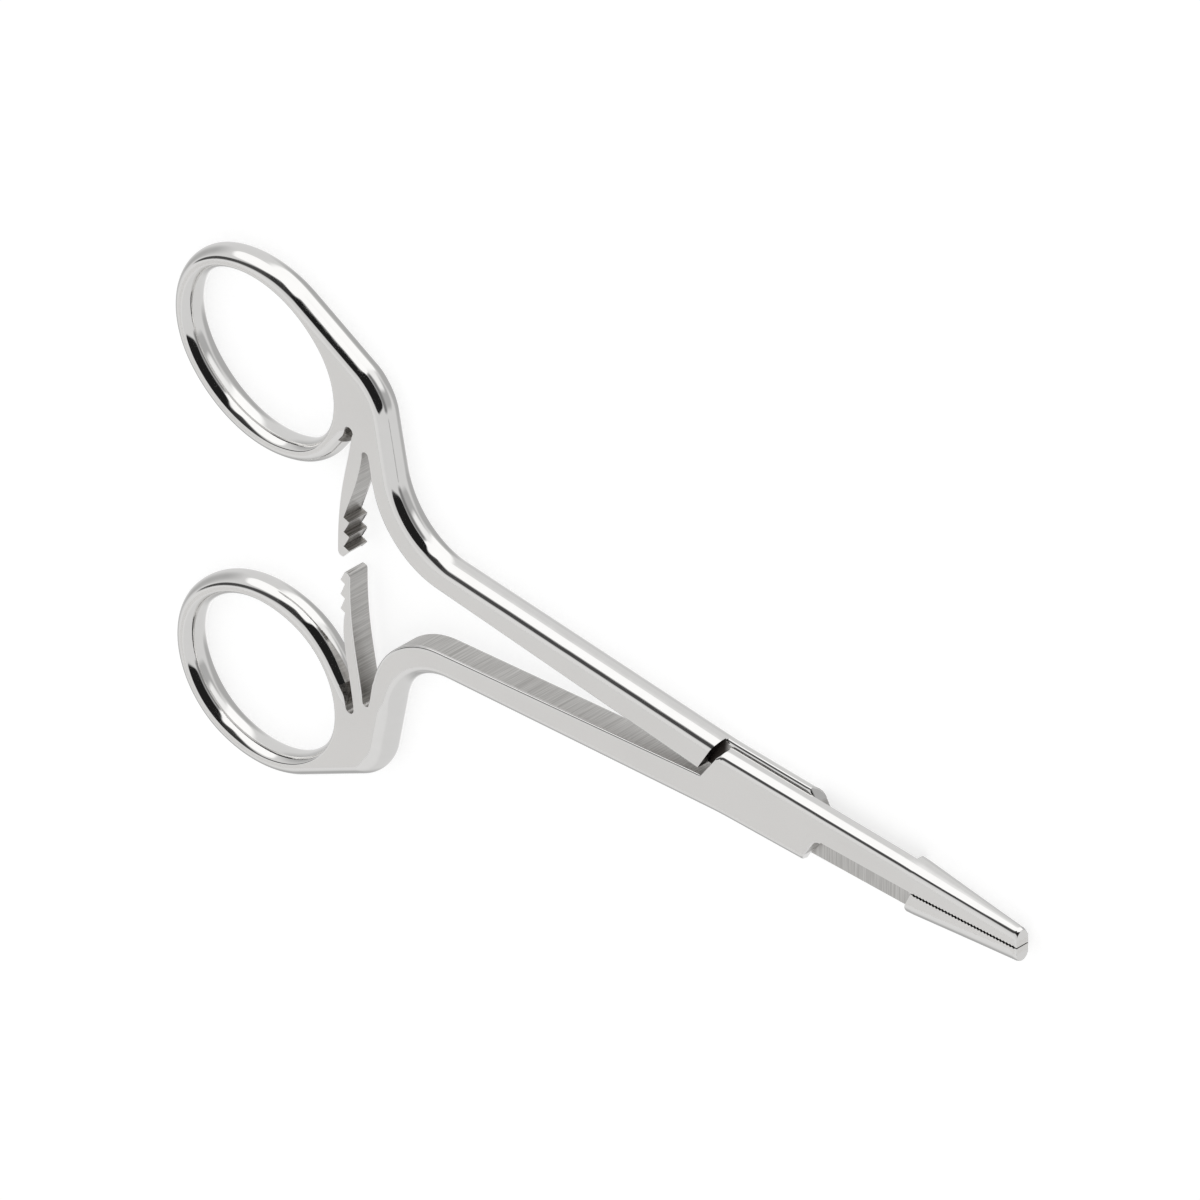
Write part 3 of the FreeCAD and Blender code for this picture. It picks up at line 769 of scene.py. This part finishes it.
def ground_cut(name, dark, light):
    """Cut sides: grinding lines that run through the thickness, along Z, between two tones."""
    nodes, finish = steel(name)
    lines = nodes.noise((7500.0, 7500.0, 160.0), 2.0, 0.6)
    wide = nodes.noise((1500.0, 1500.0, 60.0), 2.0)
    tone = nodes.math("ADD", nodes.math("MULTIPLY", lines, 0.85), nodes.math("MULTIPLY", wide, 0.15))
    return finish(Base_Color=nodes.tint(nodes.ramp(tone, 0.3, 0.7), dark, light),
                  Roughness=nodes.ramp(tone, 0.3, 0.7, 0.34, 0.46),
                  Normal=nodes.bump(lines, 0.000004))


def lap_face():
    """Lap faces: grinding lines across the blade, with painted shade darkening the lap behind the
    shoulder.
    """
    nodes, finish = steel("lap_face")
    lines = nodes.ramp(nodes.noise((7500.0, 160.0, 160.0), 2.0, 0.6), 0.3, 0.7)
    place = nodes.add("ShaderNodeTexCoord").outputs["Object"]
    along = nodes.add("ShaderNodeSeparateXYZ", {0: place}).outputs["X"]
    unshaded = nodes.ramp(along, GAP_SHADE_FADE * MM, GAP_SHADE_END * MM)
    metal = nodes.tint(lines, (0.50, 0.49, 0.475), (0.68, 0.67, 0.655))
    # Painted shade: near black behind the shoulder, fading into the metal along X
    values = {0: unshaded, 6: (0.05, 0.042, 0.037, 1.0), 7: metal}
    colour = nodes.add("ShaderNodeMix", values, data_type="RGBA").outputs[2]
    return finish(Base_Color=colour, Roughness=nodes.ramp(lines, 0.0, 1.0, 0.32, 0.40))


STEELS = [mirror_polish(), satin_face(),
          ground_cut("ground_cut", (0.46, 0.45, 0.435), (0.70, 0.69, 0.675)), lap_face(),
          # Darker ground cut: its dark tones are painted shade for faces in recesses, between the
          # teeth and under the other jaw
          ground_cut("shaded_ground_cut", (0.13, 0.12, 0.11), (0.40, 0.385, 0.365))]

bores = [cylinder("bore", PIN_BORE_R, -SPARE, BODY_T),
         cylinder("sink", PIN_SINK_R, -SPARE, PIN_SINK_Z)]
blind_hole = [cylinder("hole", PIN_HOLE_R, BODY_T - PIN_HOLE_Z, BODY_T)]
half_a = half("steel_half_a", arm(ARM_A, 1, BODY_T - ARM_T), bores, False)
half_b = half("steel_half_b", arm(ARM_B, -1, 0.0), blind_hole, True)
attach(half_a, "handle_a")
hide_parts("half_a")
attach(half_b, "handle_b")
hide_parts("half_b")

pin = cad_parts["pivot_pin"]
pin.data.materials.clear()
pin.data.materials.append(STEELS[GROUND])

# Camera: the photograph's direction, roll and frame, from far away
CAMERA_RIGHT = Vector((0.7032, 0.0, -0.7109)).normalized()
CAMERA_UP = Vector((-0.4054, 0.8228, -0.3982)).normalized()
CAMERA_TARGET = Vector((-26.99, 16.36, 3.8)) * MM
CAMERA_DISTANCE = 6.5
FRAME_WIDTH = 1200 / 8.567 * MM     # pixels over pixels a millimetre
SENSOR = 36.0

# Floor: partly lit and partly glowing where the camera sees it, so that it is white with a shadow
FLOOR_SIZE = 30.0
FLOOR_ALBEDO = 0.8
FLOOR_SEEN_ALBEDO, FLOOR_SEEN_GLOW = 0.5, 0.68

# Studio: an even pale room, white cards, and the dark room behind the camera
# Cards as azimuth, elevation, half width, half height (degrees), softness, light level
ROOM_LEVEL = 0.72
CARD_ROUNDING = 0.5     # corner radius as a share of the card's shorter half
CARDS = [
    (-136.0, 46.0, 40.0, 24.0, 0.30, 0.79),
    (-178.0, -2.0, 26.0, 16.0, 0.25, 0.46),
    (-125.0, -8.0, 22.0, 20.0, 0.25, 0.44),
    (-132.0, -46.0, 17.0, 16.0, 0.12, 1.00),
    (31.0, -20.0, 28.0, 25.0, 0.13, 0.46),
    (70.0, -21.0, 34.0, 17.0, 0.16, 0.98),
    (97.0, -14.0, 20.0, 40.0, 0.10, 1.15),
    (110.0, 11.0, 38.0, 21.0, 0.06, 1.15),
    (150.0, 46.0, 45.0, 11.0, 0.07, 0.07),
    (96.0, 46.0, 20.0, 12.0, 0.10, 0.04),
    (34.0, 5.0, 36.0, 9.0, 0.12, 0.22),
    (43.0, 42.0, 35.0, 27.0, 0.05, 0.015),
    (0.0, -90.0, 30.0, 30.0, 0.20, 0.46),
]


def add_camera():
    """Camera along its back axis from the target, with a lens that spans the frame's width there."""
    back = CAMERA_RIGHT.cross(CAMERA_UP).normalized()
    up = back.cross(CAMERA_RIGHT).normalized()
    data = bpy.data.cameras.new("camera")
    data.sensor_width = SENSOR
    data.lens = SENSOR * CAMERA_DISTANCE / FRAME_WIDTH
    data.clip_start, data.clip_end = 0.1, 20.0
    camera = bpy.data.objects.new("camera", data)
    bpy.context.scene.collection.objects.link(camera)
    turn = Matrix((CAMERA_RIGHT, up, back)).transposed()
    camera.matrix_world = Matrix.Translation(CAMERA_TARGET + back * CAMERA_DISTANCE) @ turn.to_4x4()
    bpy.context.scene.camera = camera


def grey(level):
    """Colour with the level in red, green and blue alike."""
    return (level, level, level, 1.0)


def mirror_ray(nodes, path):
    """1 for rays that come off metal, 0 for the camera's and for the floor's light."""
    return nodes.math("MAXIMUM", path["Is Glossy Ray"], path["Is Transmission Ray"])


def pale_floor():
    """Diffuse floor that partly glows to the camera; reflections look through it to the studio."""
    material = bpy.data.materials.new("pale_floor")
    material.use_nodes = True
    material.node_tree.nodes.clear()
    nodes = Nodes(material.node_tree)
    path = nodes.add("ShaderNodeLightPath").outputs
    plain = nodes.add("ShaderNodeBsdfDiffuse", {"Color": grey(FLOOR_ALBEDO)}).outputs[0]
    lit = nodes.add("ShaderNodeBsdfDiffuse", {"Color": grey(FLOOR_SEEN_ALBEDO)}).outputs[0]
    glow = nodes.add("ShaderNodeEmission", {"Strength": FLOOR_SEEN_GLOW}).outputs[0]
    seen = nodes.add("ShaderNodeAddShader", {0: lit, 1: glow}).outputs[0]
    values = {0: path["Is Camera Ray"], 1: plain, 2: seen}
    solid = nodes.add("ShaderNodeMixShader", values).outputs[0]
    through = nodes.add("ShaderNodeBsdfTransparent").outputs[0]
    values = {0: mirror_ray(nodes, path), 1: solid, 2: through}
    final = nodes.add("ShaderNodeMixShader", values).outputs[0]
    nodes.add("ShaderNodeOutputMaterial", {"Surface": final})
    return material


def add_floor():
    """Square floor at height 0."""
    side = FLOOR_SIZE / 2
    mesh = bpy.data.meshes.new("floor")
    corners = [(-side, -side, 0), (side, -side, 0), (side, side, 0), (-side, side, 0)]
    mesh.from_pydata(corners, [], [(0, 1, 2, 3)])
    mesh.materials.append(pale_floor())
    floor = bpy.data.objects.new("floor", mesh)
    bpy.context.scene.collection.objects.link(floor)


def card_mask(nodes, ray, azimuth, elevation, half_width, half_height, softness):
    """1 inside a rounded rectangle seen from the object, by the distance from its inner rectangle.

    With u = |ray.across / ray.centre| and w likewise, the distance is |max((u, w) - inner, 0)| - r.
    """
    a, e = radians(azimuth), radians(elevation)
    axes = {
        "centre": (cos(e) * cos(a), cos(e) * sin(a), sin(e)),
        "across": (-sin(a), cos(a), 0.0),
        "upward": (-sin(e) * cos(a), -sin(e) * sin(a), cos(e)),
    }
    along = {}
    for key, axis in axes.items():
        product = nodes.add("ShaderNodeVectorMath", {0: ray, 1: axis}, operation="DOT_PRODUCT")
        along[key] = product.outputs["Value"]
    front = nodes.math("MAXIMUM", along["centre"], 0.001)
    limits = {"across": tan(radians(half_width)), "upward": tan(radians(half_height))}
    r = max(softness, CARD_ROUNDING * min(limits.values()))
    squares = []
    for key, limit in limits.items():
        share = nodes.math("ABSOLUTE", nodes.math("DIVIDE", along[key], front))
        beyond = nodes.math("MAXIMUM", nodes.math("SUBTRACT", share, limit - r), 0.0)
        squares.append(nodes.math("MULTIPLY", beyond, beyond))
    distance = nodes.math("SQRT", nodes.math("ADD", *squares))
    inside = nodes.ramp(distance, r - softness, r + softness, 1.0, 0.0)
    return nodes.math("MULTIPLY", inside, nodes.math("GREATER_THAN", along["centre"], 0.0))


def add_studio():
    """World: even light for the floor, white for the camera, room and cards for the metal."""
    world = bpy.data.worlds.new("studio")
    bpy.context.scene.world = world
    world.use_nodes = True
    world.cycles.sampling_method = "NONE"
    world.node_tree.nodes.clear()
    nodes = Nodes(world.node_tree)
    ray = nodes.add("ShaderNodeTexCoord").outputs["Generated"]
    level = ROOM_LEVEL
    for *place, light in CARDS:
        values = {0: card_mask(nodes, ray, *place), 2: level, 3: light}
        level = nodes.add("ShaderNodeMix", values, data_type="FLOAT").outputs[0]
    path = nodes.add("ShaderNodeLightPath").outputs
    values = {0: path["Is Camera Ray"], 2: ROOM_LEVEL, 3: 1.0}
    plain = nodes.add("ShaderNodeMix", values, data_type="FLOAT").outputs[0]
    even = nodes.add("ShaderNodeBackground", {"Strength": plain, "Color": grey(1.0)}).outputs[0]
    cards = nodes.add("ShaderNodeBackground", {"Strength": level, "Color": grey(1.0)}).outputs[0]
    values = {0: mirror_ray(nodes, path), 1: even, 2: cards}
    both = nodes.add("ShaderNodeMixShader", values).outputs[0]
    nodes.add("ShaderNodeOutputWorld", {"Surface": both})


add_camera()
add_floor()
add_studio()
bpy.context.scene.view_settings.view_transform = "Standard"
